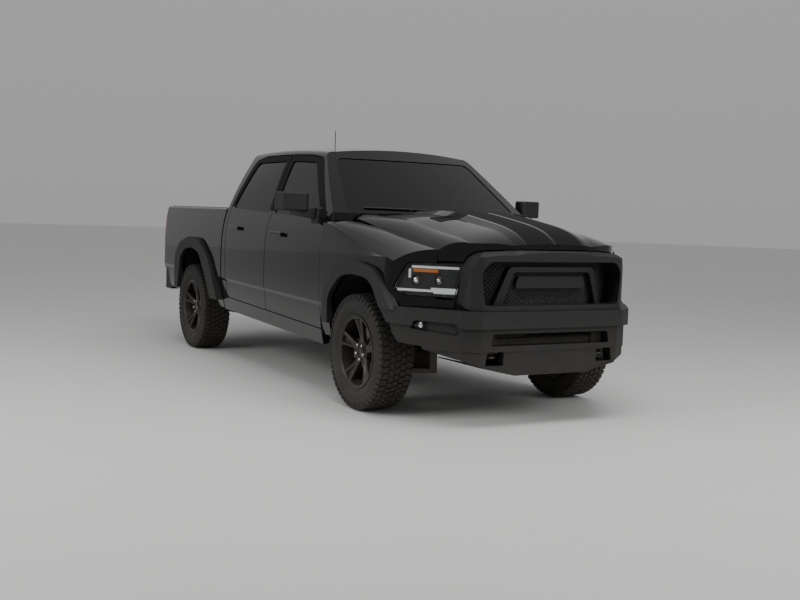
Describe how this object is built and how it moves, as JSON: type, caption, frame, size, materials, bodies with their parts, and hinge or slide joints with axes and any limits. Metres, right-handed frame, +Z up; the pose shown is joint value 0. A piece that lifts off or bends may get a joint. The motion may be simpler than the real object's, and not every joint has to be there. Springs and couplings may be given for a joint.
{
  "type": "pickup truck",
  "caption": "Full-size four-door pickup truck with hollow cab and cargo bed, opening doors, hood and tailgate, steered front wheels and turning wheels.",
  "frame": {"origin": "on the ground, midway along the truck's length and width", "axes": "front faces -Y, the truck's left side is at +X, +Z is up"},
  "size_m": [2.4978, 5.811, 2.0049],
  "materials": {
    "gloss_paint": "gloss black",
    "tinted_glass": "dark tinted",
    "clear_lens": "clear moulded lens",
    "red_lens": "red lens",
    "black_plastic": "grained matte black",
    "black_steel": "satin black",
    "grey_steel": "dull steel",
    "tank_plastic": "moulded",
    "cast_metal": "cast",
    "tyre_rubber": "matte rubber",
    "black_alloy": "satin black",
    "seat_leather": "soft black",
    "cabin_plastic": "soft moulded"
  },
  "bodies": {
    "truck": {"cab_shell": "gloss_paint", "front_fenders": "gloss_paint", "cargo_bed": "gloss_paint", "fixed_glass": "tinted_glass", "headlamps": "clear_lens", "fog_lamps": "clear_lens", "tail_lamps": "red_lens", "grille": "black_plastic", "front_bumper": "black_plastic", "arch_flares": "black_plastic", "arch_liners": "black_plastic", "wipers": "black_plastic", "front_support": "black_plastic", "rear_bumper": "black_steel", "chassis_frame": "black_steel", "rear_axle": "black_steel", "rear_springs": "black_steel", "drive_shafts": "black_steel", "trailer_hitch": "black_steel", "antenna": "black_steel", "front_suspension": "black_steel", "tow_hooks": "black_steel", "exhaust": "grey_steel", "fuel_tank": "tank_plastic", "engine_and_gearbox": "cast_metal", "spare_wheel": "tyre_rubber", "front_seats": "seat_leather", "rear_seat": "seat_leather", "dashboard": "cabin_plastic"},
    "hood": {"hood": "gloss_paint"},
    "tailgate": {"tailgate": "gloss_paint"},
    "steering_wheel": {"steering_wheel": "cabin_plastic"},
    "knuckle_left": {"knuckle_left": "cast_metal"},
    "door_front_left": {"door_front_left": "gloss_paint", "door_glass_front_left": "tinted_glass", "mirror_left": "black_plastic"},
    "door_rear_left": {"door_rear_left": "gloss_paint", "door_glass_rear_left": "tinted_glass"},
    "wheel_front_left": {"wheel_front_left": "black_alloy", "tyre_front_left": "tyre_rubber"},
    "wheel_rear_left": {"wheel_rear_left": "black_alloy", "tyre_rear_left": "tyre_rubber"},
    "knuckle_right": {"knuckle_right": "cast_metal"},
    "door_front_right": {"door_front_right": "gloss_paint", "door_glass_front_right": "tinted_glass", "mirror_right": "black_plastic"},
    "door_rear_right": {"door_rear_right": "gloss_paint", "door_glass_rear_right": "tinted_glass"},
    "wheel_front_right": {"wheel_front_right": "black_alloy", "tyre_front_right": "tyre_rubber"},
    "wheel_rear_right": {"wheel_rear_right": "black_alloy", "tyre_rear_right": "tyre_rubber"}
  },
  "joints": [
    {"name": "steer_left", "type": "hinge", "parent": "truck", "child": "knuckle_left", "pos_m": [0.77, -1.8935, 0.417], "axis": [0, 0, 1], "range_deg": [-32, 32]},
    {"name": "spin_front_left", "type": "hinge", "parent": "knuckle_left", "child": "wheel_front_left", "pos_m": [0.872, -1.8935, 0.417], "axis": [1, 0, 0], "continuous": true},
    {"name": "spin_rear_left", "type": "hinge", "parent": "truck", "child": "wheel_rear_left", "pos_m": [0.872, 1.6755, 0.417], "axis": [1, 0, 0], "continuous": true},
    {"name": "door_front_left_swing", "type": "hinge", "parent": "truck", "child": "door_front_left", "pos_m": [0.968, -1.1895, 0.9], "axis": [0, 0, -1], "range_deg": [0, 65]},
    {"name": "door_rear_left_swing", "type": "hinge", "parent": "truck", "child": "door_rear_left", "pos_m": [0.968, -0.0915, 0.9], "axis": [0, 0, -1], "range_deg": [0, 70]},
    {"name": "steer_right", "type": "hinge", "parent": "truck", "child": "knuckle_right", "pos_m": [-0.77, -1.8935, 0.417], "axis": [0, 0, 1], "range_deg": [-32, 32]},
    {"name": "spin_front_right", "type": "hinge", "parent": "knuckle_right", "child": "wheel_front_right", "pos_m": [-0.872, -1.8935, 0.417], "axis": [1, 0, 0], "continuous": true},
    {"name": "spin_rear_right", "type": "hinge", "parent": "truck", "child": "wheel_rear_right", "pos_m": [-0.872, 1.6755, 0.417], "axis": [1, 0, 0], "continuous": true},
    {"name": "door_front_right_swing", "type": "hinge", "parent": "truck", "child": "door_front_right", "pos_m": [-0.968, -1.1895, 0.9], "axis": [0, 0, 1], "range_deg": [0, 65]},
    {"name": "door_rear_right_swing", "type": "hinge", "parent": "truck", "child": "door_rear_right", "pos_m": [-0.968, -0.0915, 0.9], "axis": [0, 0, 1], "range_deg": [0, 70]},
    {"name": "hood_lift", "type": "hinge", "parent": "truck", "child": "hood", "pos_m": [0, -1.3575, 1.33], "axis": [-1, 0, 0], "range_deg": [0, 50]},
    {"name": "tailgate_drop", "type": "hinge", "parent": "truck", "child": "tailgate", "pos_m": [0, 2.6995, 0.904], "axis": [-1, 0, 0], "range_deg": [0, 90]},
    {"name": "steering_wheel_turn", "type": "hinge", "parent": "truck", "child": "steering_wheel", "pos_m": [0.385, -0.7735, 1.2], "axis": [0, 0.9063, 0.4226], "range_deg": [-512, 512]}
  ],
  "couplings": [
    {"joint": "steer_right", "follows": "steer_left", "ratio": 1},
    {"joint": "steering_wheel_turn", "follows": "steer_left", "ratio": 16}
  ]
}
